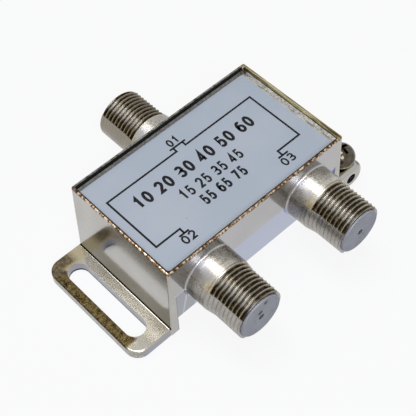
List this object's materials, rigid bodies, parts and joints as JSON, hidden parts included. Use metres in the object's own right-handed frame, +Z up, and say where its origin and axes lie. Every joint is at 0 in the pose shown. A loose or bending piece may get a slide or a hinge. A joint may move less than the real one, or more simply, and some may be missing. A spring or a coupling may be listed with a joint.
{
  "type": "coaxial splitter",
  "caption": "Die-cast metal box with threaded coaxial ports on two sides, a soldered labelled lid, a slotted mounting ear and a ground screw lug.",
  "frame": {"origin": "middle of the box's base, on the mounting plane", "axes": "+Z up out of the mounting plane towards the label, +X from the slotted ear to the ground lug, +Y the way the IN port points"},
  "size_m": [0.0537, 0.047, 0.0176],
  "materials": {
    "plated_zinc": "nickel-plated zinc die casting, satin",
    "tinned_steel": "tin-plated steel sheet",
    "solder": "dull tin solder",
    "label_film": "blue-grey printed film, matt",
    "port_plastic": "grey moulded plastic",
    "bead_plastic": "natural moulded plastic",
    "tinned_bronze": "tin-plated bronze",
    "washer_steel": "yellow-passivated steel",
    "screw_steel": "nickel-plated steel, polished",
    "board_laminate": "glass-epoxy laminate",
    "copper_foil": "tinned copper foil",
    "ferrite": "sintered ferrite",
    "enamelled_wire_red": "enamelled copper wire",
    "enamelled_wire_green": "enamelled copper wire",
    "resistor_coat": "lacquered",
    "capacitor_ceramic": "plain ceramic with tinned ends"
  },
  "bodies": {
    "splitter": {"housing": "plated_zinc", "lid": "tinned_steel", "lid_seam": "solder", "label": "label_film", "in_port_cap": "port_plastic", "out_port_a_cap": "port_plastic", "out_port_b_cap": "port_plastic", "in_port_bead": "bead_plastic", "out_port_a_bead": "bead_plastic", "out_port_b_bead": "bead_plastic", "in_port_contact": "tinned_bronze", "out_port_a_contact": "tinned_bronze", "out_port_b_contact": "tinned_bronze", "circuit_board": "board_laminate", "board_tracks": "copper_foil", "ground_plane": "copper_foil", "board_solder": "solder", "contact_solder": "solder", "wire_solder": "solder", "matching_core": "ferrite", "splitting_core": "ferrite", "matching_winding_in": "enamelled_wire_red", "matching_winding_ground": "enamelled_wire_green", "splitting_winding_a": "enamelled_wire_red", "splitting_winding_b": "enamelled_wire_green", "isolation_resistor": "resistor_coat", "input_capacitor": "capacitor_ceramic", "compensation_capacitor": "capacitor_ceramic"},
    "washer": {"ground_washer": "washer_steel"},
    "screw": {"ground_screw": "screw_steel"}
  },
  "joints": [
    {"name": "ground_screw_rise", "type": "slide", "parent": "splitter", "child": "washer", "axis": [0, 0, 1], "range_m": [-0.0005, 0.001]},
    {"name": "ground_screw_turn", "type": "hinge", "parent": "washer", "child": "screw", "pos_m": [0.0231, -0.0088, 0.0055], "axis": [0, 0, 1], "range_deg": [-360, 720]}
  ],
  "couplings": [
    {"joint": "ground_screw_turn", "follows": "ground_screw_rise", "rad_per_m": 12566}
  ]
}
